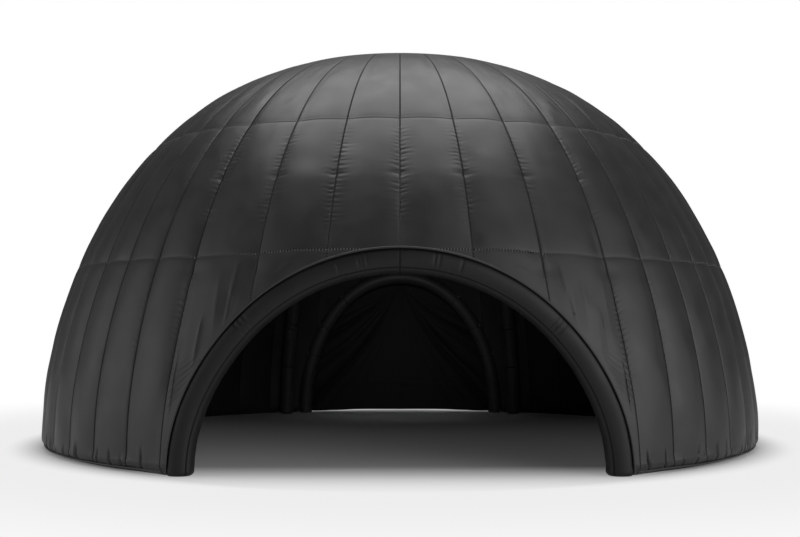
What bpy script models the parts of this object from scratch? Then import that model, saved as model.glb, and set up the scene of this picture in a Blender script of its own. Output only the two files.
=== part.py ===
"""Inflatable event tent: a black air-filled dome, 10 m across, with an open front arch and a curtained rear arch.

The wall is a ring of tall air chambers, sewn from tapering panels that swell between their seams. It ends in a crown
cap at the top and in a rounded foot on the ground. Each doorway is framed by an inflated arch tube with piping at the
wall's edge. Four inflated ribs stand inside against the wall and meet at a hub under the crown.

Metres, +Z up, ground at Z = 0, origin at the centre of the dome on the ground, front doorway towards -Y.
"""

import math

import bmesh
import bpy
from mathutils import Vector

# Dome: the outer skin follows r = radius * cos(t) ** SIDE_POWER, z = height * sin(t) ** RISE_POWER
DOME_RADIUS = 5.0
DOME_HEIGHT = 5.42
SIDE_POWER = 0.8145
RISE_POWER = 1.0492
WALL = 0.32
CROWN_RADIUS = 1.78

# Wall chambers
PANEL_SWELL = 0.07  # rise of a panel over its seams, as a share of the panel's width
OUTER_FOOT_ROUND = 0.14
INNER_FOOT_ROUND = 0.10
BASE_FADE = 0.35  # the swelling dies away over this distance from the ground, a doorway or the crown cap
DOOR_FADE = 0.55
CROWN_FADE = 0.45
FRONT_PANEL = 10.0  # degrees of the circle taken by one panel over a doorway
DOOR_SEAM = 30.5  # degrees from the door's middle to the first seam that runs down to the ground
SIDE_CHAMBERS = 8
OUTER_ROWS = 12
INNER_ROWS = 10
CROWN_RINGS = 5
ROUND_STEPS = 3
PANEL_STEPS = 3

# Doorways
FRONT_ARCH_RADIUS = 2.33  # to the middle of the arch tube
FRONT_TUBE = 0.15
FRONT_TUBE_SETBACK = 0.13  # from the outer skin to the middle of the arch tube
REAR_ARCH_HALF_WIDTH = 1.75
REAR_ARCH_HEIGHT = 2.49
REAR_ARCH_POWER = 2.05  # 2 would be a half ellipse
REAR_TUBE = 0.12
REAR_TUBE_SETBACK = 0.30
REAR_DOOR_EASE = 0.0018  # the hole is this much wider than the tube, which leans to it at the shoulders
ARCH_STEPS = 48
PIPING = 0.014
PIPING_SETBACK = 0.008
PIPING_START = 0.2  # the piping's ends stop this share of an arch step above the ground

# Frame inside
RIB_TUBE = 0.125
REAR_RIB_ANGLE = 27.0  # degrees from the middle of the rear doorway
FRONT_RIB_ANGLE = 33.2
HUB_RADIUS = 0.45
HUB_HALF_THICKNESS = 0.10
HUB_ROUND = 0.07
RIB_END = 0.05
RIB_LAST_TURN = 0.02  # the least turn, in radians, between a rib's last two points
FOOT_BEVEL = 0.04

# Curtain
CURTAIN_THICKNESS = 0.024
CURTAIN_HEM = 0.05
CURTAIN_SEAT = 0.0022
CURTAIN_RISE = 0.985  # share of the arch's height
CURTAIN_ROWS = 12

GAP = 0.0003  # between pieces that touch
SEAT = 0.00096  # between round pieces that touch
BLACK_CLOTH = (0.018, 0.018, 0.019)
DARK_CLOTH = (0.012, 0.012, 0.013)


def ease(share):
    """Smooth step from 0 to 1."""
    share = min(max(share, 0.0), 1.0)
    return share * share * (3 - 2 * share)


def dome_point(turn, inset):
    """(radius, height) on the dome's profile, a quarter turn from the ground to the top, inset from the outer skin."""
    turn = max(turn, 0.0)
    radius = (DOME_RADIUS - inset) * math.cos(turn) ** SIDE_POWER
    return radius, (DOME_HEIGHT - inset) * math.sin(turn) ** RISE_POWER


def turn_at_height(height, inset):
    """The profile's turn at a height over the ground."""
    return math.asin((max(height, 0.0) / (DOME_HEIGHT - inset)) ** (1 / RISE_POWER))


def turn_at_radius(radius, inset):
    """The profile's turn at a distance from the dome's axis."""
    return math.acos((radius / (DOME_RADIUS - inset)) ** (1 / SIDE_POWER))


def dome_normal(turn):
    """The profile's outward direction, as its parts along the radius and along the height."""
    low, high = dome_point(turn - 0.005, 0.0), dome_point(turn + 0.005, 0.0)
    return Vector((high[1] - low[1], low[0] - high[0])).normalized()


def skin_depth(x, z, inset):
    """Distance along Y from the dome's middle plane to its skin, at a place across the front or the rear."""
    radius = dome_point(turn_at_height(z, inset), inset)[0]
    if z < OUTER_FOOT_ROUND:
        radius -= OUTER_FOOT_ROUND - math.sqrt(OUTER_FOOT_ROUND**2 - (OUTER_FOOT_ROUND - z) ** 2)
    return math.sqrt(radius * radius - x * x)


def front_arch_point(angle, radius):
    """A place on a half circle round the front doorway, as (x, z)."""
    return radius * math.cos(angle), radius * math.sin(angle)


def rear_arch_point(angle, outset):
    """A place on the rear doorway's arch, as (x, z): a half ellipse with squarer shoulders."""
    across, up = math.cos(angle), math.sin(angle)
    x = (REAR_ARCH_HALF_WIDTH + outset) * abs(across) ** (2 / REAR_ARCH_POWER)
    z = (REAR_ARCH_HEIGHT + outset) * abs(up) ** (2 / REAR_ARCH_POWER)
    return math.copysign(x, across), math.copysign(z, up)


def rear_arch_half_width(z, outset):
    """Half the width of the rear doorway's arch at a height."""
    share = min(z / (REAR_ARCH_HEIGHT + outset), 1.0)
    return (REAR_ARCH_HALF_WIDTH + outset) * (1 - share**REAR_ARCH_POWER) ** (1 / REAR_ARCH_POWER)


def door_clearance(x, y, z):
    """How far a place on the wall lies outside the nearer doorway's arch, seen from the front."""
    if y < 0:
        return math.hypot(x, z) - FRONT_ARCH_RADIUS - FRONT_TUBE
    stretch = (REAR_ARCH_HALF_WIDTH + REAR_TUBE) / (REAR_ARCH_HEIGHT + REAR_TUBE)
    return math.hypot(x, z * stretch) - REAR_ARCH_HALF_WIDTH - REAR_TUBE


def material(name, colour, roughness):
    """A plain Principled finish."""
    made = bpy.data.materials.new(name)
    made.use_nodes = True
    shader = made.node_tree.nodes["Principled BSDF"]
    shader.inputs["Base Color"].default_value = (*colour, 1.0)
    shader.inputs["Roughness"].default_value = roughness
    shader.inputs["Metallic"].default_value = 0.0
    return made


def collection(name):
    """A collection of its own in the scene."""
    made = bpy.data.collections.new(name)
    bpy.context.scene.collection.children.link(made)
    return made


def place(name, mesh, finish, group):
    """A named object for a mesh, with its finish."""
    obj = bpy.data.objects.new(name, mesh)
    mesh.materials.append(finish)
    group.objects.link(obj)
    return obj


def smooth(obj, degrees=40.0):
    """Smooth shading, with edges sharper than an angle left sharp."""
    obj.data.shade_smooth()
    obj.data.set_sharp_from_angle(angle=math.radians(degrees))


def loft(name, sections, finish, group):
    """A closed solid through rings of points that all have the same number of points."""
    shape = bmesh.new()
    rings = [[shape.verts.new(point) for point in section] for section in sections]
    for ring, following in zip(rings, rings[1:]):
        for here in range(len(ring)):
            there = (here + 1) % len(ring)
            shape.faces.new((ring[here], ring[there], following[there], following[here]))
    shape.faces.new(rings[0])
    shape.faces.new(rings[-1])
    bmesh.ops.recalc_face_normals(shape, faces=shape.faces)
    mesh = bpy.data.meshes.new(name)
    shape.to_mesh(mesh)
    shape.free()
    obj = place(name, mesh, finish, group)
    smooth(obj)
    return obj


def inner_turns():
    """The profile's turns at the rows of points up the wall's inner skin."""
    low, top = turn_at_height(INNER_FOOT_ROUND, WALL), turn_at_radius(CROWN_RADIUS, 0.0)
    return [low + (top - low) * row / INNER_ROWS for row in range(INNER_ROWS + 1)]


def crown_turns(start):
    """The profile's turns at the rings of the crown cap, from its edge to the top."""
    return [start + (math.pi / 2 - start) * step / CROWN_RINGS for step in range(CROWN_RINGS + 1)]


def wall_profile():
    """The chamber's cross-section as (radius, height, side): side is 1 on the outer skin, -1 on the inner, 0 on the foot."""
    top = turn_at_radius(CROWN_RADIUS, 0.0)
    foot = [math.radians(-90 * (ROUND_STEPS - step) / ROUND_STEPS) for step in range(ROUND_STEPS)]
    outer_corner = Vector((DOME_RADIUS - OUTER_FOOT_ROUND, OUTER_FOOT_ROUND))
    points = [(*(outer_corner + OUTER_FOOT_ROUND * Vector((math.cos(a), math.sin(a)))), 0) for a in foot]
    low = turn_at_height(OUTER_FOOT_ROUND, 0.0)
    for row in range(OUTER_ROWS + 1):
        points.append((*dome_point(low + (top - low) * row / OUTER_ROWS, 0.0), 1))
    for turn in reversed(inner_turns()):
        points.append((*dome_point(turn, WALL), -1))
    inner_corner = Vector((DOME_RADIUS - WALL + INNER_FOOT_ROUND, INNER_FOOT_ROUND))
    for a in reversed(foot):
        reach = INNER_FOOT_ROUND * Vector((-math.cos(a), math.sin(a)))
        points.append((*(inner_corner + reach), 0))
    return points


def wall_section(azimuth, share, width, side_gap):
    """One ring of a chamber: the profile at an azimuth, drawn in towards the chamber's middle at the panel's seams.

    Share is 0 and 1 at the panel's two seams, width is the panel's in radians, and side_gap is -1 or 1 at the
    chamber's own ends, which keep clear of the next chamber."""
    ring = []
    for radius, height, side in wall_profile():
        x, y = radius * math.sin(azimuth), -radius * math.cos(azimuth)
        depth = PANEL_SWELL * width * radius * (2 * share - 1) ** 2
        depth *= ease(height / BASE_FADE) * ease((radius - CROWN_RADIUS) / CROWN_FADE)
        depth *= ease(door_clearance(x, y, height) / DOOR_FADE)
        out, up = dome_normal(turn_at_height(height, WALL if side < 0 else 0.0))
        pulled = radius - side * depth * out
        height -= side * depth * up
        angle = azimuth + side_gap * GAP / 2 / pulled
        ring.append((pulled * math.sin(angle), -pulled * math.cos(angle), height))
    return ring


def chamber(name, seams, finish, group):
    """A wall chamber from its first seam to its last, in degrees, with a panel between each two."""
    sections = [wall_section(math.radians(seams[0]), 0.0, math.radians(seams[1] - seams[0]), 1)]
    for start, end in zip(seams, seams[1:]):
        width = math.radians(end - start)
        for step in range(1, PANEL_STEPS + 1):
            share = step / PANEL_STEPS
            last = end == seams[-1] and step == PANEL_STEPS
            sections.append(wall_section(math.radians(start) + width * share, share, width, -1 if last else 0))
    return loft(name, sections, finish, group)


def wall_chambers(finish, group):
    """Every chamber round the dome, by name. Seams are measured from the middle of the front doorway."""
    made = {}
    over_door = [0.0, FRONT_PANEL, 2 * FRONT_PANEL, DOOR_SEAM]
    for step, seams in enumerate(zip(over_door, over_door[1:]), 1):
        made[f"front_gore_right_{step}"] = seams
        made[f"front_gore_left_{step}"] = (-seams[1], -seams[0])
        made[f"rear_gore_right_{step}"] = (180 - seams[1], 180 - seams[0])
        made[f"rear_gore_left_{step}"] = (180 + seams[0], 180 + seams[1])
    width = (180 - 2 * DOOR_SEAM) / SIDE_CHAMBERS
    for step in range(SIDE_CHAMBERS):
        start = DOOR_SEAM + width * step
        seams = (start, start + width / 2, start + width)
        made[f"side_wall_right_{step + 1}"] = seams
        made[f"side_wall_left_{step + 1}"] = tuple(-angle for angle in reversed(seams))
    return {name: chamber(name, seams, finish, group) for name, seams in made.items()}


def crown_cap(finish, group):
    """The round cap that closes the top, turned from the same profile as the wall."""
    sag = CROWN_RADIUS * (1 - math.cos(math.radians(DOOR_SEAM - 2 * FRONT_PANEL) / PANEL_STEPS / 2))
    edge = turn_at_radius(CROWN_RADIUS - sag - GAP, 0.0)
    outer = [dome_point(turn, 0.0) for turn in crown_turns(edge)]
    inner = [dome_point(turn, WALL) for turn in crown_turns(edge)]
    outer[-1] = (0.0, outer[-1][1])
    inner[-1] = (0.0, inner[-1][1])
    profile = list(reversed(outer)) + inner
    shape = bmesh.new()
    verts = [shape.verts.new((radius, 0.0, height)) for radius, height in profile]
    for here, there in zip(verts, verts[1:]):
        shape.edges.new((here, there))
    mesh = bpy.data.meshes.new("crown_cap")
    shape.to_mesh(mesh)
    shape.free()
    obj = place("crown_cap", mesh, finish, group)
    turned = obj.modifiers.new("turned", "SCREW")
    turned.steps = turned.render_steps = 36
    turned.use_merge_vertices = True
    turned.merge_threshold = 0.0001
    return obj


def cutter(name, mesh, group):
    """A hidden shape that only cuts others."""
    obj = bpy.data.objects.new(name, mesh)
    group.objects.link(obj)
    obj.hide_render = True
    obj.display_type = "WIRE"
    return obj


def doorway_cutter(name, outline, reach, group):
    """A prism along Y through the wall, from a closed outline of (x, z) points."""
    shape = bmesh.new()
    face = shape.faces.new([shape.verts.new((x, reach[0], z)) for x, z in outline])
    pushed = bmesh.ops.extrude_face_region(shape, geom=[face], use_keep_orig=True)
    moved = [item for item in pushed["geom"] if isinstance(item, bmesh.types.BMVert)]
    bmesh.ops.translate(shape, verts=moved, vec=(0.0, reach[1] - reach[0], 0.0))
    bmesh.ops.recalc_face_normals(shape, faces=shape.faces)
    mesh = bpy.data.meshes.new(name)
    shape.to_mesh(mesh)
    shape.free()
    return cutter(name, mesh, group)


def cut(obj, tool):
    """Takes the tool's shape out of a piece."""
    made = obj.modifiers.new("doorway", "BOOLEAN")
    made.operation = "DIFFERENCE"
    made.solver = "EXACT"
    made.object = tool


def cut_doorways(chambers, group):
    """Opens the front and the rear doorway in the chambers that they reach."""
    turns = [2 * math.pi * step / (2 * ARCH_STEPS) for step in range(2 * ARCH_STEPS)]
    wall_reach = DOME_RADIUS + WALL
    front = [front_arch_point(angle, FRONT_ARCH_RADIUS + FRONT_TUBE + GAP) for angle in turns]
    front_tool = doorway_cutter("front_doorway_cutter", front, (-wall_reach, -wall_reach / 2), group)
    rear = [rear_arch_point(angle, REAR_TUBE + REAR_DOOR_EASE) for angle in turns]
    rear_tool = doorway_cutter("rear_doorway_cutter", rear, (wall_reach / 2, wall_reach), group)
    for side in ("left", "right"):
        for step in (1, 2, 3):
            cut(chambers[f"front_gore_{side}_{step}"], front_tool)
            cut(chambers[f"rear_gore_{side}_{step}"], rear_tool)
        cut(chambers[f"side_wall_{side}_1"], front_tool)


def curve(name, points, radius, resolution, finish, group):
    """A round cord or tube along a list of points."""
    data = bpy.data.curves.new(name, "CURVE")
    data.dimensions = "3D"
    data.bevel_depth = radius
    data.bevel_resolution = resolution
    data.use_fill_caps = True
    line = data.splines.new("POLY")
    line.points.add(len(points) - 1)
    for place_of, point in zip(line.points, points):
        place_of.co = (*point, 1.0)
    data.materials.append(finish)
    obj = bpy.data.objects.new(name, data)
    group.objects.link(obj)
    return obj


def stand(line, feet):
    """Turns the line's first point, and with two feet its last one too, into a plumb foot on the ground."""
    line[0] = (line[1][0], line[1][1], 0.0)
    if feet == 2:
        line[-1] = (line[-2][0], line[-2][1], 0.0)
    return line


def standing_tube(name, points, radius, feet, finish, group):
    """An inflated tube that stands flat on the ground, with a rounded rim at each foot."""
    drawn = curve(name, stand(points, feet), radius, 4, finish, group)
    bpy.context.view_layer.update()
    mesh = bpy.data.meshes.new_from_object(drawn.evaluated_get(bpy.context.evaluated_depsgraph_get()))
    bpy.data.objects.remove(drawn)
    shape = bmesh.new()
    shape.from_mesh(mesh)
    bmesh.ops.remove_doubles(shape, verts=shape.verts, dist=0.0001)
    flat = [face for face in shape.faces if all(abs(vert.co.z) < 1e-5 for vert in face.verts)]
    soles = bmesh.ops.dissolve_faces(shape, faces=flat)["region"]
    assert len(soles) == feet
    rim = [edge for sole in soles for edge in sole.edges]
    for vert in [vert for sole in soles for vert in sole.verts]:
        vert.co.z = 0.0
    bmesh.ops.bevel(shape, geom=rim, offset=FOOT_BEVEL, segments=2, profile=0.5, affect="EDGES")
    bmesh.ops.recalc_face_normals(shape, faces=shape.faces)
    shape.to_mesh(mesh)
    shape.free()
    mesh.materials.clear()
    obj = place(name, mesh, finish, group)
    smooth(obj)
    return obj


def edge_piping(name, line, finish, group):
    """The cord sewn along a doorway's edge. Its ends stop just above the ground."""
    line = [Vector(point) for point in line]
    line[0] = line[0].lerp(line[1], PIPING_START)
    line[-1] = line[-1].lerp(line[-2], PIPING_START)
    return curve(name, line, PIPING, 2, finish, group)


def front_arch(finish, cord, group):
    """The inflated tube round the front doorway, and the piping in the groove between it and the wall."""
    line, edge = [], []
    for step in range(ARCH_STEPS + 1):
        angle = math.pi * step / ARCH_STEPS
        x, z = front_arch_point(angle, FRONT_ARCH_RADIUS)
        edge_x, edge_z = front_arch_point(angle, FRONT_ARCH_RADIUS + FRONT_TUBE - PIPING)
        line.append((x, FRONT_TUBE_SETBACK - skin_depth(edge_x, max(edge_z, OUTER_FOOT_ROUND), 0.0), z))
        edge.append((edge_x, -skin_depth(edge_x, max(edge_z, OUTER_FOOT_ROUND / 2), PIPING_SETBACK), edge_z))
    standing_tube("front_arch_tube", line, FRONT_TUBE, 2, finish, group)
    edge_piping("front_arch_piping", edge, cord, group)


def rear_tube_depth(x, z):
    """Distance along Y to the middle of the rear arch tube."""
    return skin_depth(x, max(z, OUTER_FOOT_ROUND), REAR_TUBE_SETBACK)


def rear_arch(finish, cord, group):
    """The inflated tube round the rear doorway, and the piping on the wall's outer edge."""
    line, edge = [], []
    for step in range(ARCH_STEPS + 1):
        angle = math.pi * step / ARCH_STEPS
        x, z = rear_arch_point(angle, 0.0)
        line.append((x, rear_tube_depth(x, z), z))
        edge_x, edge_z = rear_arch_point(angle, REAR_TUBE + REAR_DOOR_EASE - GAP - PIPING)
        edge.append((edge_x, skin_depth(edge_x, max(edge_z, OUTER_FOOT_ROUND / 2), PIPING_SETBACK), edge_z))
    standing_tube("rear_arch_tube", line, REAR_TUBE, 2, finish, group)
    edge_piping("rear_arch_piping", edge, cord, group)


def rear_curtain(finish, group):
    """The cloth that closes the rear doorway. It hangs behind the arch tube, just clear of the ground."""
    top = REAR_ARCH_HEIGHT * CURTAIN_RISE
    sections = []
    for row in range(CURTAIN_ROWS + 1):
        z = CURTAIN_HEM + (top - CURTAIN_HEM) * math.sin(math.pi / 2 * row / CURTAIN_ROWS)
        half = rear_arch_half_width(z, 0.0)
        near = rear_tube_depth(half, z) + REAR_TUBE + CURTAIN_SEAT
        far = near + CURTAIN_THICKNESS
        sections.append([(-half, near, z), (half, near, z), (half, far, z), (-half, far, z)])
    return loft("rear_curtain", sections, finish, group)


def ribs(finish, group):
    """Four inflated ribs that stand against the inside of the wall and rise to the hub."""
    inset = WALL + RIB_TUBE + SEAT
    rows = inner_turns()
    turns = [0.0, *rows, *crown_turns(rows[-1])[1:]]
    last = turn_at_radius(HUB_RADIUS + RIB_END + SEAT, inset)
    turns = [turn for turn in turns if turn < last - RIB_LAST_TURN] + [last]
    places = {
        "front_left_rib": -FRONT_RIB_ANGLE,
        "front_right_rib": FRONT_RIB_ANGLE,
        "rear_right_rib": 180 - REAR_RIB_ANGLE,
        "rear_left_rib": 180 + REAR_RIB_ANGLE,
    }
    for name, degrees in places.items():
        out = Vector((math.sin(math.radians(degrees)), -math.cos(math.radians(degrees)), 0))
        line = []
        for turn in turns:
            radius, height = dome_point(turn, inset)
            line.append(out * radius + Vector((0, 0, height)))
        line.append(line[-1] - out * RIB_END)
        standing_tube(name, line, RIB_TUBE, 1, finish, group)


def crown_hub(finish, group):
    """The flat round cushion under the crown that the ribs run into."""
    ring, ring_height = dome_point(crown_turns(turn_at_radius(CROWN_RADIUS, 0.0))[-2], WALL)
    crown = DOME_HEIGHT - WALL
    top = crown - (crown - ring_height) * (HUB_RADIUS - HUB_ROUND) / ring - GAP
    bpy.ops.mesh.primitive_cylinder_add(
        vertices=72, radius=HUB_RADIUS, depth=2 * HUB_HALF_THICKNESS, location=(0, 0, top - HUB_HALF_THICKNESS)
    )
    hub = bpy.context.object
    hub.name = "crown_hub"
    hub.data.materials.append(finish)
    for old in hub.users_collection:
        old.objects.unlink(hub)
    group.objects.link(hub)
    rounded = hub.modifiers.new("rounded", "BEVEL")
    rounded.width = HUB_ROUND
    rounded.segments = 3
    rounded.limit_method = "ANGLE"
    smooth(hub)


def base_piping(finish, group):
    """The cord along the wall's foot on each side, from the front arch round to the rear arch."""
    facet = math.pi / 2 / ROUND_STEPS
    slope = -1.5 * facet
    reach = OUTER_FOOT_ROUND * math.cos(facet / 2) + PIPING + GAP
    radius = DOME_RADIUS - OUTER_FOOT_ROUND + reach * math.cos(slope)
    height = OUTER_FOOT_ROUND + reach * math.sin(slope)
    side_steps = SIDE_CHAMBERS * 2 * PANEL_STEPS
    azimuths = [DOOR_SEAM + (180 - 2 * DOOR_SEAM) * step / side_steps for step in range(side_steps + 1)]
    rear_panel = DOOR_SEAM - 2 * FRONT_PANEL
    azimuths += [180 - DOOR_SEAM + rear_panel * step / PANEL_STEPS for step in range(1, PANEL_STEPS)]
    for side, sign in (("right", 1), ("left", -1)):
        line = []
        for angle in map(math.radians, azimuths):
            line.append((sign * radius * math.sin(angle), -radius * math.cos(angle), height))
        curve(f"base_piping_{side}", line, PIPING, 2, finish, group)


def main():
    """Builds the tent."""
    for old in list(bpy.data.objects):
        bpy.data.objects.remove(old)
    tent = collection("inflatable_event_tent")
    tools = collection("cutters")
    shell_cloth = material("black_coated_polyester", BLACK_CLOTH, 0.55)
    frame_cloth = material("dark_tube_cloth", DARK_CLOTH, 0.5)
    curtain_cloth = material("dark_curtain_cloth", DARK_CLOTH, 0.8)
    cord = material("black_piping", BLACK_CLOTH, 0.4)
    chambers = wall_chambers(shell_cloth, tent)
    cut_doorways(chambers, tools)
    crown_cap(shell_cloth, tent)
    front_arch(frame_cloth, cord, tent)
    rear_arch(frame_cloth, cord, tent)
    rear_curtain(curtain_cloth, tent)
    ribs(frame_cloth, tent)
    crown_hub(frame_cloth, tent)
    base_piping(cord, tent)


main()
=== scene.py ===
"""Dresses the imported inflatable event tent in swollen, stitched cloth, and sets it on a studio floor."""

import math

import bmesh
import bpy
import numpy as np
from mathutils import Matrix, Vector


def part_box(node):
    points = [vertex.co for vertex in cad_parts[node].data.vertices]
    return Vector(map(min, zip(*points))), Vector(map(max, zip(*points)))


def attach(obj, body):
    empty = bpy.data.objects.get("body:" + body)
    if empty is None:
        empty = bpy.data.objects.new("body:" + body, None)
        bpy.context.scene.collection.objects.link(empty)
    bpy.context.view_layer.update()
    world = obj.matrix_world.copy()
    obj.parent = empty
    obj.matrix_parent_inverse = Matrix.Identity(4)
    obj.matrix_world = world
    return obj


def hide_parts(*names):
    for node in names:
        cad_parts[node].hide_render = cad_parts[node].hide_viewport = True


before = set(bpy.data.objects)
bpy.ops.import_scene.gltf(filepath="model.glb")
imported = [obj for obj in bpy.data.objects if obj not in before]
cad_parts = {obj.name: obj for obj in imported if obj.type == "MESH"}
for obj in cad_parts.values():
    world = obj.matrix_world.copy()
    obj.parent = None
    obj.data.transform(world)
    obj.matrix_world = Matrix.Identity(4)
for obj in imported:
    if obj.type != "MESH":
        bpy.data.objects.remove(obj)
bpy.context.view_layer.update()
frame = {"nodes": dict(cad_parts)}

bl_info = {
    "name": "Inflatable event tent",
    "version": (1, 0, 0),
    "blender": (4, 5, 0),
    "location": "3D View > Sidebar > Tent",
    "description": "Builds the cloth, tubes, curtain and stage of an inflatable dome tent over its packed solids",
    "category": "Object",
}

# The dome's profile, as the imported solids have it
SIDE_POWER = 0.8145
RISE_POWER = 1.0492
CROWN_RADIUS = 1.78
CROWN_SEAM = 5.1905
OUTER_FOOT_ROUND = 0.14
INNER_FOOT_ROUND = 0.10
DOOR_SEAM = 30.5
REAR_DOOR_FOOT = 156.5
# The skin's radius beside the doorway and at the foot, which turns angles into metres there
DOOR_REACH = 4.9
FOOT_REACH = 4.95
FRONT_PANEL = 10.0
SIDE_CHAMBERS = 8
EDGE_GAP = 0.0003

# Seam heights up the wall, in metres over the ground
LOW_SEAM = 2.396
LOW_SEAM_BOW = 0.052
HIGH_SEAM = 4.035
PINCH_HEIGHT = 3.3
OVER_ARCH = 2.62
FOOT_TUCK = 0.018
EDGE_TUCK = 0.005
LEGS_SPREAD = 0.06
LEGS_SPREAD_BELOW = 2.0

FRONT_ARCH_RADIUS = 2.33
FRONT_TUBE = 0.15
FRONT_TUBE_SETBACK = 0.13
REAR_ARCH_HALF_WIDTH = 1.75
REAR_ARCH_HEIGHT = 2.49
REAR_ARCH_POWER = 2.05
REAR_TUBE = 0.12
REAR_TUBE_SETBACK = 0.30
PIPING = 0.014
PIPING_SETBACK = 0.008
RIB_TUBE = 0.125
RIB_CLEARANCE = 0.001
RIB_ANGLES = {
    "front_left_rib": -33.2,
    "front_right_rib": 33.2,
    "rear_right_rib": 153.0,
    "rear_left_rib": 207.0,
}
RIB_REACH = 0.45
CURTAIN_HEM = 0.05
CURTAIN_SEAT = 0.006
# The curtain's folds on each side: how far down each one runs, its depth and its half width
CURTAIN_FOLDS = (
    (-0.30, 0.050, 0.030),
    (-0.06, 0.080, 0.040),
    (0.20, 0.150, 0.060),
    (0.42, 0.080, 0.040),
    (0.60, 0.100, 0.050),
    (0.80, 0.190, 0.080),
    (1.06, 0.060, 0.070),
    (1.32, 0.030, 0.060),
)


def linear(code):
    """An sRGB hex colour as linear red, green and blue."""
    parts = [int(code[at : at + 2], 16) / 255 for at in (1, 3, 5)]
    return tuple(part / 12.92 if part <= 0.04045 else ((part + 0.055) / 1.055) ** 2.4 for part in parts)


# ---------------------------------------------------------------- sizes


class TentShape(bpy.types.PropertyGroup):
    """The tent's sizes that a user would change."""

    dome_radius: bpy.props.FloatProperty(
        name="Dome radius", description="From the tent's middle to its outer skin", default=5.0, unit="LENGTH"
    )
    dome_height: bpy.props.FloatProperty(
        name="Dome height", description="From the ground to the crown", default=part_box("crown_cap")[1].z,
        unit="LENGTH",
    )
    wall: bpy.props.FloatProperty(
        name="Wall thickness", description="Depth of the wall's air chambers", default=0.32, unit="LENGTH"
    )
    swell: bpy.props.FloatProperty(
        name="Swell", description="Rise of a panel over its seams, as a share of its width", default=0.055, min=0.0
    )
    pucker: bpy.props.FloatProperty(
        name="Pucker depth", description="Height of the gathers beside a seam", default=0.009, unit="LENGTH"
    )
    fold: bpy.props.FloatProperty(
        name="Curtain folds", description="How deep the curtain's folds are, 1 as first hung", default=1.0, min=0.0
    )


class TentColours(bpy.types.PropertyGroup):
    """The tent's colours."""

    wall: bpy.props.FloatVectorProperty(
        name="Wall cloth", description="Coated cloth of the wall", subtype="COLOR", size=3, default=linear("#252525")
    )
    tube: bpy.props.FloatVectorProperty(
        name="Tube cloth", description="Coated cloth of the front arch", subtype="COLOR", size=3,
        default=linear("#0b0b0c"),
    )
    # The frame's colour is painted lighter than the wall's, as painted light on the ribs and the rear arch
    frame: bpy.props.FloatVectorProperty(
        name="Frame cloth", description="Coated cloth of the ribs and the rear arch", subtype="COLOR", size=3,
        default=linear("#383838"),
    )
    curtain: bpy.props.FloatVectorProperty(
        name="Curtain", description="Cloth of the rear curtain", subtype="COLOR", size=3, default=linear("#1a1a1a")
    )
    piping: bpy.props.FloatVectorProperty(
        name="Piping", description="Corded edge of the doorways and foot", subtype="COLOR", size=3,
        default=linear("#2c2c2c"),
    )


class TentStage(bpy.types.PropertyGroup):
    """The floor, the light and the camera."""

    floor: bpy.props.FloatVectorProperty(
        name="Floor", description="Pale studio floor", subtype="COLOR", size=3, default=linear("#d4d4d4")
    )
    even_light: bpy.props.FloatProperty(
        name="Even light", description="Brightness of the studio all round", default=0.07, min=0.0
    )
    left_light: bpy.props.FloatProperty(
        name="Left light", description="Brightness of the wide light on the left", default=1.15, min=0.0
    )
    right_light: bpy.props.FloatProperty(
        name="Right light", description="Brightness of the wide light on the right", default=2.15, min=0.0
    )
    back_light: bpy.props.FloatProperty(
        name="Back light", description="Brightness added behind the tent", default=0.03, min=0.0
    )
    top_light: bpy.props.FloatProperty(
        name="Top light", description="Power of the soft box over the tent", default=1560.0, min=0.0, unit="POWER"
    )
    door_light: bpy.props.FloatProperty(
        name="Door light", description="Power of the fill light inside, under the roof", default=3.6, min=0.0,
        unit="POWER",
    )
    lens: bpy.props.FloatProperty(
        name="Lens", description="Focal length", default=50.05, unit="CAMERA", subtype="DISTANCE_CAMERA"
    )


# ---------------------------------------------------------------- shared shapes


def ease(share):
    """Smooth step from 0 to 1."""
    share = np.clip(share, 0.0, 1.0)
    return share * share * (3 - 2 * share)


def bell(offset, width):
    """A smooth hump, 1 in the middle."""
    return np.exp(-((offset / width) ** 2))


def scatter(cell, seed):
    """A fixed number from -1 to 1 for each whole number."""
    value = np.sin(cell * 127.1 + seed * 311.7) * 43758.5453
    return 2 * (value - np.floor(value)) - 1


def wander(along, seed):
    """A smooth line that wanders between -1 and 1, one bend to each unit of length."""
    cell = np.floor(along)
    share = ease(along - cell)
    return scatter(cell, seed) * (1 - share) + scatter(cell + 1, seed) * share


def drift(across, along, seed):
    """The same over a surface."""
    cell = np.floor(across)
    share = ease(across - cell)
    here, there = wander(along, seed + 13.0 * cell), wander(along, seed + 13.0 * (cell + 1))
    return here * (1 - share) + there * share


def creases(along, seed):
    """Narrow ridges at uneven steps, from 0 to 1."""
    return (1 - np.abs(wander(along, seed))) ** 4


def gathers(along, across, seed):
    """Short dents at right angles to a seam, one to each unit of length, uneven in place, depth and reach."""
    cell = np.floor(along)
    middle = 0.5 + 0.25 * scatter(cell, seed)
    depth = 0.4 + 0.6 * np.abs(scatter(cell, seed + 5))
    reach = 0.045 + 0.055 * np.abs(scatter(cell, seed + 9))
    return depth * bell(along - cell - middle, 0.19) * np.exp(-((across / reach) ** 1.6))


def round_place(radius, turned, height):
    """Points at a distance from the tent's middle, an angle from the front doorway and a height."""
    return np.stack(np.broadcast_arrays(radius * np.sin(turned), -radius * np.cos(turned), height), axis=-1)


def dome_point(shape, turn, inset):
    """(radius, height) on the dome's profile, a quarter turn from the ground to the top."""
    radius = (shape.dome_radius - inset) * np.cos(turn) ** SIDE_POWER
    return radius, (shape.dome_height - inset) * np.sin(turn) ** RISE_POWER


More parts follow.
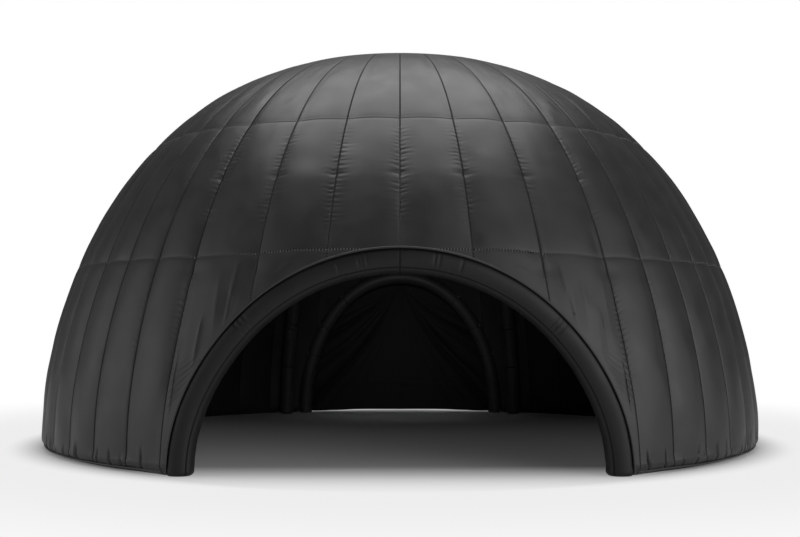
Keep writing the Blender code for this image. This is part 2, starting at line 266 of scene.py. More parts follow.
def skin_line(shape, inner):
    """The wall's outer or inner skin from foot to crown cap: distance along it, radius, height and normal."""
    inset = shape.wall if inner else 0.0
    rounding = INNER_FOOT_ROUND if inner else OUTER_FOOT_ROUND
    sign = -1.0 if inner else 1.0
    corner = shape.dome_radius - inset - sign * rounding
    bend = np.linspace(-math.pi / 2, 0, 40)
    low = math.asin((rounding / (shape.dome_height - inset)) ** (1 / RISE_POWER))
    top = math.acos((CROWN_RADIUS / shape.dome_radius) ** (1 / SIDE_POWER))
    radius, height = dome_point(shape, np.linspace(low, top, 1200)[1:], inset)
    radius = np.concatenate([corner + sign * rounding * np.cos(bend), radius])
    height = np.concatenate([rounding + rounding * np.sin(bend), height])
    along = np.concatenate([[0.0], np.cumsum(np.hypot(np.diff(radius), np.diff(height)))])
    slope_r, slope_z = np.gradient(radius, along), np.gradient(height, along)
    size = np.hypot(slope_r, slope_z)
    return {"s": along, "r": radius, "z": height, "nr": slope_z / size, "nz": -slope_r / size}


def skin_depth(shape, x, z, inset):
    """Distance along Y from the tent's middle plane to its skin."""
    turn = np.arcsin((np.maximum(z, 0.0) / (shape.dome_height - inset)) ** (1 / RISE_POWER))
    radius = dome_point(shape, turn, inset)[0]
    low = np.clip(OUTER_FOOT_ROUND - z, 0.0, OUTER_FOOT_ROUND)
    radius = radius - OUTER_FOOT_ROUND + np.sqrt(OUTER_FOOT_ROUND**2 - low**2)
    return np.sqrt(radius * radius - x * x)


def rear_arch_point(angle, outset):
    """A place on the rear doorway's arch, as (x, z)."""
    across, up = np.cos(angle), np.sin(angle)
    x = (REAR_ARCH_HALF_WIDTH + outset) * np.sign(across) * np.abs(across) ** (2 / REAR_ARCH_POWER)
    return x, (REAR_ARCH_HEIGHT + outset) * np.abs(up) ** (2 / REAR_ARCH_POWER)


def rear_arch_half_width(z, outset):
    """Half the width of the rear doorway's arch at a height."""
    share = np.minimum(z / (REAR_ARCH_HEIGHT + outset), 1.0)
    return (REAR_ARCH_HALF_WIDTH + outset) * (1 - share**REAR_ARCH_POWER) ** (1 / REAR_ARCH_POWER)


def doorway_height(x, rear):
    """Height of the hole in the wall at a place across it, 0 outside it."""
    if rear:
        outset = REAR_TUBE - EDGE_TUCK
        share = np.minimum(np.abs(x) / (REAR_ARCH_HALF_WIDTH + outset), 1.0)
        return (REAR_ARCH_HEIGHT + outset) * (1 - share**REAR_ARCH_POWER) ** (1 / REAR_ARCH_POWER)
    reach = FRONT_ARCH_RADIUS + FRONT_TUBE - EDGE_TUCK
    return np.sqrt(np.maximum(reach * reach - x * x, 0.0))


def doorway_distance(x, y, z):
    """How far a place on the wall lies outside the nearer doorway."""
    front = np.hypot(x, z) - FRONT_ARCH_RADIUS - FRONT_TUBE
    stretch = (REAR_ARCH_HALF_WIDTH + REAR_TUBE) / (REAR_ARCH_HEIGHT + REAR_TUBE)
    rear = np.hypot(x, z * stretch) - REAR_ARCH_HALF_WIDTH - REAR_TUBE
    return np.where(y < 0, front, rear)


# ---------------------------------------------------------------- meshes


def spread_legs(points):
    """Moves points near the front doorway's feet a little outwards, where the arch's legs spread."""
    x, y, z = points[:, 0], points[:, 1], points[:, 2]
    beside = ease((2.95 - np.abs(x)) / 0.42) * ease((np.abs(x) - 1.3) / 1.1)
    low = ease((LEGS_SPREAD_BELOW - z) / 1.8) * ease((-y - 3.3) / 0.5)
    moved = points.copy()
    moved[:, 0] += np.sign(x) * LEGS_SPREAD * beside * low
    return moved


def put(name, verts, faces, finish):
    """A named object for a mesh in the tent's own place."""
    mesh = bpy.data.meshes.new(name)
    mesh.from_pydata(spread_legs(np.asarray(verts)).tolist(), [], faces)
    mesh.materials.append(finish)
    mesh.validate()
    obj = bpy.data.objects.new(name, mesh)
    bpy.context.scene.collection.objects.link(obj)
    return obj


def mark(obj, name, values):
    """Stores a number on each point of a mesh, for its material."""
    layer = obj.data.attributes.new(name, "FLOAT", "POINT")
    layer.data.foreach_set("value", np.asarray(values, np.float32).ravel())


def outward(obj):
    """Turns every face outwards."""
    shape = bmesh.new()
    shape.from_mesh(obj.data)
    bmesh.ops.recalc_face_normals(shape, faces=shape.faces)
    shape.to_mesh(obj.data)
    shape.free()


def round_off(obj, degrees=48.0):
    """Smooth shading, with folds sharper than an angle left sharp."""
    obj.data.shade_smooth()
    obj.data.set_sharp_from_angle(angle=math.radians(degrees))


def grid_faces(rows, size, closed):
    """Four-sided faces between rows of points, with each row closed into a ring or left open."""
    row, place = np.arange(rows - 1)[:, None] * size, np.arange(size if closed else size - 1)[None, :]
    here, beside = (row + place).ravel(), (row + (place + 1) % size).ravel()
    return np.stack([here, beside, beside + size, here + size], axis=1)


def ring_body(name, rings, finish, marks):
    """A closed body through rings of points, shaped (rings, points, 3), with a cap on the first and the last."""
    count, size = rings.shape[:2]
    faces = grid_faces(count, size, True).tolist()
    faces.append(list(range(size)))
    faces.append(list(range((count - 1) * size, count * size)))
    obj = put(name, rings.reshape(-1, 3).tolist(), faces, finish)
    for mark_name, values in marks.items():
        mark(obj, mark_name, values)
    outward(obj)
    round_off(obj)
    return obj


def adopt(obj, node):
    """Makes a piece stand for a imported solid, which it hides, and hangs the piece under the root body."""
    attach(obj, "root")
    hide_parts(node)


# ---------------------------------------------------------------- wall


def seam_angles():
    """Every meridian seam round the dome, in degrees from the middle of the front doorway, from -180 to 180."""
    side = np.linspace(DOOR_SEAM, 180 - DOOR_SEAM, 2 * SIDE_CHAMBERS + 1)
    over_door = np.array([0, FRONT_PANEL, 2 * FRONT_PANEL])
    right = np.concatenate([over_door, side, 180 - over_door[::-1]])
    return np.concatenate([-right[:0:-1], right])


SEAMS = seam_angles()
# The panels' swell and how far the cloth stands out from the solid wall, by height
SWELL_UP_THE_WALL = ([0.0, 0.3, 2.4, 3.3, 4.03, 4.9, 5.18], [0.8, 1.2, 1.15, 0.75, 0.55, 0.32, 0.10])
STAND_OUT = ([0, 2.4, 5.2], [0.017, 0.019, 0.030])
GATHER_SPACING = 0.064
STRIP_WRINKLES = 0.074
# How strongly the cloth gathers beside each seam, by the seam's angle from the nearer doorway's middle
MIDDLE_GATHERS = ([0, 10, 20, 30.5, 38, 46, 90], [1.0, 1.0, 0.75, 1.0, 0.4, 0.22, 0.22])
LOWER_GATHERS = ([0, 10, 20, 30.5, 38, 46, 90], [0.3, 0.3, 0.5, 1.0, 0.8, 0.5, 0.4])
PINCHES = ([0, 10, 20, 30.5, 38, 90], [1.0, 1.0, 0.8, 0.9, 0.15, 0.1])
# Long folds in the lower front wall: from angle and height to angle and height, with depth and half width
FOLDS = (
    (-22.6, 2.38, -23.0, 1.90, 0.012, 0.030),
    (-22.9, 2.08, -23.3, 1.60, 0.016, 0.012),
    (-22.4, 2.02, -22.8, 1.70, 0.010, 0.010),
    (-25.2, 2.30, -24.8, 1.50, 0.007, 0.045),
    (-26.8, 1.78, -27.0, 1.16, 0.015, 0.030),
    (-29.0, 2.25, -28.6, 1.45, 0.006, 0.060),
    (-15.1, 2.33, -16.6, 2.18, 0.015, 0.018),
    (-14.6, 2.44, -15.6, 2.24, 0.007, 0.035),
    (22.3, 2.36, 22.9, 1.88, 0.012, 0.034),
    (23.1, 2.05, 23.5, 1.58, 0.018, 0.013),
    (25.4, 2.32, 25.0, 1.48, 0.009, 0.040),
    (27.2, 1.84, 26.9, 1.18, 0.014, 0.032),
    (28.8, 2.28, 28.5, 1.50, 0.006, 0.060),
    (15.6, 2.36, 17.0, 2.15, 0.013, 0.022),
)


def low_seam_height(angle):
    """The lower level seam rises a little over the front doorway."""
    return LOW_SEAM + LOW_SEAM_BOW * ease((DOOR_SEAM - np.abs(angle)) / 22)


def seam_place(angle):
    """For angles in degrees: the panel's number, its first and last seam, and the nearer seam's number."""
    panel = np.clip(np.searchsorted(SEAMS, angle, side="right") - 1, 0, len(SEAMS) - 2)
    first, last = SEAMS[panel], SEAMS[panel + 1]
    nearer = np.where(angle - first < last - angle, panel, panel + 1)
    return panel, first, last, nearer


def fold_relief(angle, height):
    """The long folds that the doorway's pull draws in the cloth beside it."""
    relief = np.zeros_like(height)
    for angle_0, height_0, angle_1, height_1, depth, width in FOLDS:
        x, y = np.radians(angle - angle_0) * DOOR_REACH, height - height_0
        run = Vector((math.radians(angle_1 - angle_0) * DOOR_REACH, height_1 - height_0))
        share = (x * run.x + y * run.y) / run.length_squared
        across = np.abs(x * run.y - y * run.x) / run.length
        taper = ease(share / 0.35) * ease((1.1 - share) / 0.45)
        crest = np.exp(-np.sqrt(across * across + 0.00002) / width) - 0.35
        relief += depth * crest * bell(across, 4 * width) * taper
    # Fine wrinkles in the narrow strip between the arch's legs and the next seam, rising towards the arch
    inside = np.radians(DOOR_SEAM - np.abs(angle)) * DOOR_REACH
    place = (height - 0.75 * inside) / STRIP_WRINKLES
    place = place + 0.3 * wander(height / 0.17, 33.0 + np.sign(angle))
    wrinkles = np.cos(2 * math.pi * place) * (0.8 + 0.2 * wander(place / 2, 27.0 + np.sign(angle)))
    strip = ease(inside / 0.04) * bell(height - 0.95 - 0.3 * inside, 0.22) * (np.abs(angle) < DOOR_SEAM)
    return relief + 0.0058 * wrinkles * strip


def seam_relief(shape, angle, height, along, from_seam, nearer):
    """Gathers, pinches and the break in slope that the stitching draws in the cloth."""
    seam = SEAMS[nearer]
    from_door = np.minimum(np.abs(seam), 180 - np.abs(seam))
    side = np.sign(angle - seam + 1e-9)
    seed = nearer * 3.7 + side
    middle = ease((height - OVER_ARCH) / 0.30) * ease((4.02 - height) / 0.20)
    middle *= 0.74 + 0.20 * bell(height - PINCH_HEIGHT, 0.45)
    lower = ease((height - 0.55) / 0.4) * ease((2.30 - height) / 0.2) * (0.4 + 0.6 * bell(height - 1.45, 0.45))
    strength = middle * np.interp(from_door, *MIDDLE_GATHERS) + lower * np.interp(from_door, *LOWER_GATHERS)
    strength *= 0.85 + 0.35 * wander(along / 0.30, seed + 41)
    bent = along / GATHER_SPACING + 0.35 * wander(from_seam / 0.05, seed)
    relief = -shape.pucker * strength * gathers(bent, from_seam, seed) * (1 - np.exp(-from_seam / 0.004))
    relief -= 0.006 * np.exp(-from_seam / 0.008) * ease((4.9 - height) / 0.9)
    pinch = np.interp(from_door, *PINCHES)
    relief -= 0.011 * pinch * bell(height - PINCH_HEIGHT - 0.02, 0.032) * np.exp(-from_seam / 0.065)
    relief -= 0.013 * pinch * bell(height - LOW_SEAM + 0.17, 0.075) * np.exp(-from_seam / 0.10)
    broken = np.interp(from_door, [0, 31, 50, 90], [1.0, 1.0, 0.5, 0.3]) * ease((from_seam + 0.06) / 0.22)
    from_break = height - PINCH_HEIGHT - 0.02 * wander(angle / 3.1, 51.0)
    relief += 0.011 * broken * np.exp(-np.sqrt(from_break * from_break + 0.0030) / 0.22)
    return relief


def tuck_places(panel):
    """The tucks at the foot of panels: each one's angle, whether it's there, its lean and its height."""
    for number in range(3):
        share = 0.5 + 0.40 * scatter(panel, 5.0 + number)
        middle = SEAMS[panel] + share * (SEAMS[panel + 1] - SEAMS[panel])
        there = scatter(panel, 9.0 + number) > -0.35
        lean, top = 0.16 * scatter(panel, 15.0 + number), 0.26 + 0.09 * scatter(panel, 19.0 + number)
        yield middle, there, lean, top


def base_relief(angle, height, panel):
    """The tucks where the cloth is gathered into the piping at the foot."""
    relief = np.zeros_like(height)
    for middle, there, lean, top in tuck_places(panel):
        across = np.radians(angle - middle) * FOOT_REACH + lean * (height - 0.1)
        reach = ease(height / 0.03) * ease((top - height) / 0.16)
        relief += there * reach * (-0.022 * bell(across, 0.010) + 0.006 * bell(np.abs(across) - 0.036, 0.020))
    return relief


def wall_relief(shape, angle, along, radius, height, inner):
    """How far the cloth stands out from the even dome, with its distances to the seams."""
    panel, first, last, nearer = seam_place(angle)
    width = np.minimum(np.radians(last - first) * radius, 0.62)
    share = (angle - first) / (last - first)
    from_seam = np.radians(np.abs(angle - SEAMS[nearer])) * radius
    from_door = doorway_distance(radius * np.sin(np.radians(angle)), -radius * np.cos(np.radians(angle)), height)
    near_door = ease(from_door / 0.32)
    swell = shape.swell * np.interp(height, *SWELL_UP_THE_WALL)
    relief = -swell * width * np.abs(2 * share - 1) ** 2.2 * (0.25 + 0.75 * near_door)
    if inner:
        return 0.8 * relief * ease(height / 0.3), from_seam, np.ones_like(relief)
    relief *= ease(height / 0.22)
    low, high = low_seam_height(angle), HIGH_SEAM
    from_band = np.minimum(np.abs(height - low), 1.25 * np.abs(height - high))
    from_band = np.minimum(from_band, 1.6 * (CROWN_SEAM - height))
    for level in (low, high):
        from_level = np.abs(height - level)
        dip = 0.0035 * np.exp(-from_level / 0.016) + 0.007 * np.exp(-from_level / 0.11)
        relief -= dip * (0.3 + 0.7 * near_door)
    relief += near_door * seam_relief(shape, angle, height, along, from_seam, nearer)
    relief += fold_relief(angle, height) * ease(from_door / 0.06)
    relief += base_relief(angle, height, panel)
    relief -= FOOT_TUCK * np.clip(1 - height / 0.42, 0.0, 1.0) ** 2 * near_door
    relief += near_door * ease(height / 0.9) * np.interp(height, *STAND_OUT)
    broad = drift(angle / 5.2, along / 0.55, 3.0) + 0.5 * drift(angle / 2.3, along / 0.27, 8.0)
    relief += 0.0075 * broad * ease(height / 0.4) * near_door * ease(from_seam / 0.1)
    return relief, from_seam, from_band


# Columns of points over half a panel, as shares of its width, and over a tuck, in metres
WIDE_PANEL = np.array([0, 0.009, 0.022, 0.040, 0.062, 0.09, 0.125, 0.17, 0.225, 0.29, 0.36, 0.43, 0.5])
SLIM_PANEL = np.array([0, 0.012, 0.030, 0.058, 0.095, 0.14, 0.20, 0.28, 0.38, 0.5])
FOLDED_PANEL = np.concatenate([WIDE_PANEL[:5], np.linspace(0.08, 0.5, 22)])
TUCK_COLUMNS = np.array([-0.030, -0.013, 0.0, 0.013, 0.030])
# Rows of points: how many below the arches' tops, beside a doorway and over it, then their spacing above that and at
# the top
FRONT_ROWS = (165, 12, 0.0125, 0.040)
REAR_ROWS = (80, 8, 0.024, 0.050)
SIDE_ROWS = (60, 60, 0.026, 0.042)
INNER_ROWS = (16, 6, 0.13, 0.16)


def panel_columns(seams):
    """Angles of a chamber's columns of points, close together beside its seams."""
    angles = []
    for first, last in zip(seams, seams[1:]):
        half = WIDE_PANEL if last - first > 9 else SLIM_PANEL
        if 2 * FRONT_PANEL <= abs(first + last) / 2 <= DOOR_SEAM:
            half = FOLDED_PANEL
            # Closer still beside the arch's legs, where the edge climbs steeply across the fine wrinkles
            beside_leg = np.linspace(0.010, 0.36, 50) * (last - first)
            angles.extend(first + beside_leg if first < 0 else last - beside_leg)
        shares = np.concatenate([half, 1 - half[-2::-1]])
        angles.extend(first + shares * (last - first))
        panel = int(np.searchsorted(SEAMS, (first + last) / 2)) - 1
        reaches_foot = DOOR_SEAM < abs(first + last) / 2 < 180 - DOOR_SEAM
        for middle, there, *_ in tuck_places(panel):
            if there and reaches_foot:
                beside = middle + np.degrees(TUCK_COLUMNS / FOOT_REACH)
                angles.extend(beside[(beside > first + 0.1) & (beside < last - 0.1)])
    angles = np.unique(np.round(angles, 6))
    seam = np.isin(angles, np.round(seams, 6))
    kept = [angles[0]]
    for angle, on_seam in zip(angles[1:], seam[1:]):
        if angle - kept[-1] > 0.055 or on_seam:
            kept.append(angle)
    return np.array(kept)


def edge_along(line, angle, rear):
    """Where a doorway's edge crosses a skin, as distance up the skin, for each column."""
    x = line["r"][None, :] * np.sin(np.radians(angle))[:, None]
    inside = line["z"][None, :] < doorway_height(x, rear)
    last = np.where(inside.any(axis=1), inside.shape[1] - 1 - np.argmax(inside[:, ::-1], axis=1), 0)
    return line["s"][last]


def skin_rows(line, edge, rows):
    """Distances up a skin for every column. Rows over the arches are level, and those below follow the edge."""
    beside_door, over_door, middle_step, top_step = rows
    low_steps = over_door if edge.min() > 2.0 else beside_door
    over_arch, high_seam = np.interp([OVER_ARCH, HIGH_SEAM], line["z"], line["s"])
    low_share = np.linspace(0, 0.10, 6 + low_steps // 10, endpoint=False)
    low_share = np.concatenate([low_share, np.linspace(0.10, 1, low_steps, endpoint=False)])
    low = edge[:, None] + (over_arch - edge[:, None]) * low_share[None, :]
    middle = np.linspace(over_arch, high_seam, int((high_seam - over_arch) / middle_step), endpoint=False)
    top = np.linspace(high_seam, line["s"][-1], int((line["s"][-1] - high_seam) / top_step))
    high = np.concatenate([middle, top])
    return np.concatenate([low, np.broadcast_to(high, (len(edge), len(high)))], axis=1)


def rows_on_seam(rows, seam):
    """Moves the nearest three rows of each column onto the low level seam and close beside it."""
    above = seam > rows[:, 0] + 0.03
    nearest = np.argmin(np.abs(rows - seam[:, None]), axis=1)[above]
    for step, offset in ((-1, -0.012), (0, 0.0), (1, 0.012)):
        rows[above, nearest + step] = seam[above] + offset
    return rows


def skin_points(shape, line, angle, along, inner, gap):
    """Points and marks of one skin, for its columns and rows."""
    read = {key: np.interp(along, line["s"], line[key]) for key in ("r", "z", "nr", "nz")}
    angles = np.broadcast_to(angle[:, None], along.shape)
    relief, from_seam, from_band = wall_relief(shape, angles, along, read["r"], read["z"], inner)
    if inner:
        relief = -relief
    radius = read["r"] + relief * read["nr"]
    turned = np.radians(angles) + gap[:, None] / radius
    points = round_place(radius, turned, np.maximum(read["z"] + relief * read["nz"], 0.0))
    return points, from_seam, from_band


def wall_piece(shape, name, seams, finish):
    """One stretch of wall: its swollen outer skin, its inner skin, and the edges between them."""
    angle = panel_columns(seams)
    rear = abs(angle[len(angle) // 2]) > 90
    outer, inner = skin_line(shape, False), skin_line(shape, True)
    gap = np.zeros(len(angle))
    gap[0], gap[-1] = EDGE_GAP / 2, -EDGE_GAP / 2
    edge_out, edge_in = edge_along(outer, angle, rear), edge_along(inner, angle, rear)
    front = min(abs(seams[0]), abs(seams[-1])) <= DOOR_SEAM
    rows_out = skin_rows(outer, edge_out, FRONT_ROWS if front else REAR_ROWS if rear else SIDE_ROWS)
    rows_out = rows_on_seam(rows_out, np.interp(low_seam_height(angle), outer["z"], outer["s"]))
    rows_in = skin_rows(inner, edge_in, INNER_ROWS)
    points_out, seam_out, band_out = skin_points(shape, outer, angle, rows_out, False, gap)
    points_in, seam_in, band_in = skin_points(shape, inner, angle, rows_in, True, gap)
    around = np.radians(angle)[:, None]
    stitch_out = np.where(seam_out < band_out, rows_out, around * np.interp(rows_out, outer["s"], outer["r"]))
    points_in, seam_in, band_in, rows_in = (part[:, ::-1] for part in (points_in, seam_in, band_in, rows_in))
    between = []
    reach_out = np.hypot(points_out[:, 0, 0], points_out[:, 0, 1])
    reach_in = np.hypot(points_in[:, -1, 0], points_in[:, -1, 1])
    for share in np.linspace(0, 1, 7)[1:-1]:
        reach = reach_in + (reach_out - reach_in) * share
        turned = np.radians(angle) + gap / reach
        between.append(round_place(reach, turned, doorway_height(reach * np.sin(turned), rear)))
    between = np.stack(between, axis=1)
    rings = np.concatenate([points_out, points_in, between], axis=1)
    plain = np.ones(between.shape[:2])
    marks = {
        "seam_gap": (seam_out, seam_in),
        "band_gap": (band_out, band_in),
        "run": (rows_out, rows_in),
        "stitch": (stitch_out, rows_in),
    }
    marks = {key: np.concatenate([*parts, plain], axis=1) for key, parts in marks.items()}
    return ring_body(name, rings, finish, marks)


def wall_stretches():
    """Each packed wall solid's name and its seams in degrees."""
    over_door = [0.0, FRONT_PANEL, 2 * FRONT_PANEL, DOOR_SEAM]
    found = {}
    for step, (first, last) in enumerate(zip(over_door, over_door[1:]), 1):
        found[f"front_gore_right_{step}"] = (first, last)
        found[f"front_gore_left_{step}"] = (-last, -first)
        found[f"rear_gore_right_{step}"] = (180 - last, 180 - first)
        found[f"rear_gore_left_{step}"] = (first - 180, last - 180)
    width = (180 - 2 * DOOR_SEAM) / SIDE_CHAMBERS
    for step in range(SIDE_CHAMBERS):
        first = DOOR_SEAM + width * step
        found[f"side_wall_right_{step + 1}"] = (first, first + width / 2, first + width)
        found[f"side_wall_left_{step + 1}"] = (-first - width, -first - width / 2, -first)
    return found


class TENT_OT_wall(bpy.types.Operator):
    """Builds the swollen, stitched cloth of every stretch of wall"""

    bl_idname = "tent.wall"
    bl_label = "Wall"

    def execute(self, context):
        finish = wall_cloth(context.scene.tent_colours)
        for node, seams in wall_stretches().items():
            piece = wall_piece(context.scene.tent_shape, node + "_cloth", seams, finish)
            adopt(piece, node)
        return {"FINISHED"}


class TENT_OT_crown(bpy.types.Operator):
    """Builds the round cap over the crown"""

    bl_idname = "tent.crown"
    bl_label = "Crown cap"

    def execute(self, context):
        shape = context.scene.tent_shape
        columns, rows = 180, 26
        angle = np.linspace(0, 2 * math.pi, columns, endpoint=False)
        edge = math.acos(((CROWN_RADIUS - 0.0014) / shape.dome_radius) ** (1 / SIDE_POWER))
        turn = math.pi / 2 - (math.pi / 2 - edge) * np.linspace(1, 0.012, rows)
        radius, height = dome_point(shape, turn, 0.0)
        from_edge = (CROWN_RADIUS - radius)[None, :]
        ruffles = creases(angle[:, None] * CROWN_RADIUS / 0.075, 4.0) * np.exp(-from_edge / 0.10)
        relief = 0.030 + 0.004 * ruffles * (1 - np.exp(-from_edge / 0.01)) - 0.004 * bell(from_edge, 0.03)
        relief = relief + 0.006 * bell(from_edge - 0.12, 0.09)
        ahead, aside = (turned(angle)[:, None] * radius[None, :] for turned in (np.cos, np.sin))
        broad = drift(ahead / 0.6, aside / 0.6, 6.0)
        relief = relief + 0.003 * broad * ease(from_edge / 0.3)
        inner_radius, inner_height = dome_point(shape, turn[::-3], shape.wall)
        below = np.broadcast_to(inner_height, (columns, len(inner_height)))
        rise = np.concatenate([height + relief, below], axis=1)
        reach = np.broadcast_to(np.concatenate([radius, inner_radius]), rise.shape)
        rings = round_place(reach, angle[:, None], rise)
        size = rings.shape[1]
        verts = rings.reshape(-1, 3).tolist()
        faces = grid_faces(columns + 1, size, True) % (columns * size)
        pole = faces[:, 0] % size == rows - 1
        faces = faces[~pole].tolist()
        faces.append([column * size + rows - 1 for column in range(columns)])
        faces.append([column * size + rows for column in range(columns)])
        cap = put("crown_cap_cloth", verts, faces, wall_cloth(context.scene.tent_colours))
        plain = np.ones((columns, size))
        bands = plain.copy()
        bands[:, :rows] = from_edge
        mark(cap, "seam_gap", plain)
        mark(cap, "band_gap", bands)
        for name in ("run", "stitch"):
            mark(cap, name, np.broadcast_to(angle[:, None] * CROWN_RADIUS, plain.shape))
        outward(cap)
        round_off(cap)
        adopt(cap, "crown_cap")
        return {"FINISHED"}


# ---------------------------------------------------------------- tubes and cords

TUBE_SIDES = 32
CORD_SIDES = 10
# Rings of points round a tube: distances from its foot, from a crease, and where the even spacing starts
FOOT_RINGS = np.array([0.0, 0.003, 0.009, 0.018, 0.030, 0.045])
CREASE_RINGS = np.array([-0.030, -0.020, -0.014, -0.009, -0.0045, 0.0, 0.0045, 0.009, 0.014, 0.020, 0.030])
EVEN_FROM = 0.062
FOOT_EDGE = 0.05
# A tube's girth, as a share of its solid's
TUBE_GIRTH = 0.985
# Creases across the tubes: metres from the front arch's crown, height on the rear arch, and metres up a rib
CROWN_CREASES = (-0.66, -0.42, -0.37, 0.35, 0.40, 0.44, 0.67)
SHOULDER_CREASES = (-1.93, -1.87, -1.82, 1.80, 1.86, 1.92)
REAR_CREASES = (1.05, 1.56, 2.06)
REAR_SMALL_CREASES = (0.42, 0.50, 0.58, 0.66)
RIB_CREASES = np.array([0.87, 1.58, 1.66, 2.75, 3.90, 5.00])
FRONT_SEAM_TURN = math.radians(-123.75)


def run_along(path):
    """Distance along a path at each of its points."""
    return np.concatenate([[0.0], np.cumsum(np.linalg.norm(np.diff(path, axis=0), axis=1))])


def away(turn, middle):
    """How far one angle lies from another, the short way round."""
    return np.angle(np.exp(1j * (turn - middle)))


def rings_round(path, tangent, out, radius, sides):
    """Rings of points square to a path, counted round from the direction out, and their angles."""
    turn = np.linspace(0, 2 * math.pi, sides, endpoint=False)
    tangent = tangent / np.linalg.norm(tangent, axis=1)[:, None]
    out = out - (out * tangent).sum(axis=1)[:, None] * tangent
    out /= np.linalg.norm(out, axis=1)[:, None]
    aside = np.cross(tangent, out)
    spokes = np.cos(turn)[:, None] * out[:, None, :] + np.sin(turn)[:, None] * aside[:, None, :]
    return path[:, None, :] + radius(turn[None, :])[:, :, None] * spokes, turn


def foot_share(distance, drawn_in):
    """How far a tube's foot is drawn in near the ground, where its edge is rounded."""
    low = np.clip(1 - distance / FOOT_EDGE, 0.0, 1.0)
    return 1 - drawn_in * (1 - np.sqrt(1 - low * low))


def tube_body(name, path, out, radius_of, finish, seam, both_feet=True, drawn_in=0.33):
    """An inflated tube along a path, with one foot or both on the ground.

    Out is the direction from which the angle round the tube is counted, and radius_of gives the radius for (distance
    along, angle round). Seam is the long seam's angle, the tube's radius and the cross seam's distance, or None."""
    along = run_along(path)
    tangent = np.gradient(path, along, axis=0)
    tangent[0] = (0, 0, 1)
    foot = foot_share(along, drawn_in)
    if both_feet:
        tangent[-1] = (0, 0, -1)
        foot = np.minimum(foot, foot_share(along[-1] - along, drawn_in))
    rings, turn = rings_round(
        path, tangent, out, lambda turn: radius_of(along[:, None], turn) * foot[:, None], TUBE_SIDES
    )
    rings[:, :, 2] = np.maximum(rings[:, :, 2], 0.0)
    seam_turn, girth, cross_seam = seam
    run = np.broadcast_to(along[:, None], rings.shape[:2])
    across = np.broadcast_to(np.abs(away(turn, seam_turn)) * girth, run.shape)
    band = np.ones_like(run) if cross_seam is None else np.abs(run - cross_seam)
    return ring_body(name, rings, finish, {"seam_gap": across, "band_gap": band, "run": run, "stitch": run})


def even_rings(length, steps, both_feet=True):
    """Distances of a tube's rings, closer together at its feet."""
    far = length - FOOT_RINGS[::-1] if both_feet else []
    return np.concatenate([FOOT_RINGS, np.linspace(EVEN_FROM, length - EVEN_FROM * both_feet, steps), far])


def closer_by(along, places):
    """Adds distances along a tube close beside its creases."""
    extra = (np.asarray(places)[:, None] + CREASE_RINGS[None, :]).ravel()
    kept = [value for value in along if np.abs(extra - value).min() > 0.004]
    return np.sort(np.concatenate([kept, extra]))


def dents(along, places, depth, width):
    """Short creases across a tube, at distances along it."""
    return sum(depth * bell(along - place, width) for place in places)


def edge_cord(name, path, finish):
    """A sewn cord along an edge, as a closed round body."""
    out = np.broadcast_to(np.array([0.0, 0.0, 1.0]), path.shape) + 0.001
    run = run_along(path)[:, None]
    girth = PIPING * (0.94 + 0.05 * wander(run / 0.05, 7.0))
    rings = rings_round(path, np.gradient(path, axis=0), out, lambda turn: girth + 0 * turn, CORD_SIDES)[0]
    return ring_body(name, rings, finish, {"run": np.broadcast_to(run, rings.shape[:2])})


def doorway_edge(shape, name, node, x, z, side, finish):
    """The piping round a doorway, on the front for side -1 and on the rear for side 1."""
    depth = skin_depth(shape, x, np.maximum(z, OUTER_FOOT_ROUND / 2), PIPING_SETBACK)
    adopt(edge_cord(name, np.stack([x, side * depth, z], axis=1), finish), node)


class TENT_OT_front_arch(bpy.types.Operator):
    """Builds the padded tube round the front doorway and its piping"""

    bl_idname = "tent.front_arch"
    bl_label = "Front arch"

    def execute(self, context):
        shape, colours = context.scene.tent_shape, context.scene.tent_colours
        steps = int(math.pi * FRONT_ARCH_RADIUS / 0.0135)
        angle = even_rings(math.pi * FRONT_ARCH_RADIUS, steps) / FRONT_ARCH_RADIUS
        edge = FRONT_ARCH_RADIUS + FRONT_TUBE - PIPING
        depth = skin_depth(shape, edge * np.cos(angle), np.maximum(edge * np.sin(angle), OUTER_FOOT_ROUND), 0.0)
        out = np.stack([np.cos(angle), np.zeros_like(angle), np.sin(angle)], axis=1)
        path = FRONT_ARCH_RADIUS * out
        path[:, 1] = FRONT_TUBE_SETBACK - depth
        middle = float(run_along(path)[-1]) / 2

        def radius_of(along, turn):
            squared = (np.abs(np.cos(turn)) ** 2.4 + np.abs(np.sin(turn)) ** 2.4) ** (-1 / 2.4)
            radius = FRONT_TUBE * TUBE_GIRTH * squared + 0.007 * bell(away(turn, math.radians(-38)), 0.35)
            front, inner_side = bell(away(turn, -math.pi / 2), 0.85), bell(away(turn, math.pi), 0.9)
            radius = radius - front * dents(along - middle, CROWN_CREASES, 0.0070, 0.010)
            radius = radius - front * dents(along - middle, SHOULDER_CREASES, 0.0085, 0.011)
            radius = radius - 0.004 * inner_side * creases(along / 0.11, 2.0)
            radius = radius + 0.0018 * drift(turn * 1.5, along / 0.22, 5.0)
            return radius - 0.004 * bell(away(turn, FRONT_SEAM_TURN), 0.09) - 0.003 * bell(along - middle, 0.012)

        seam = (FRONT_SEAM_TURN, FRONT_TUBE, middle)
        tube = tube_body("front_arch_padding", path, out, radius_of, tube_cloth(colours), seam)
        adopt(tube, "front_arch_tube")
        line = np.linspace(0.012, math.pi - 0.012, 260)
        x, z = edge * np.cos(line), edge * np.sin(line)
        doorway_edge(shape, "front_arch_edge", "front_arch_piping", x, z, -1, piping_cloth(colours))
        return {"FINISHED"}


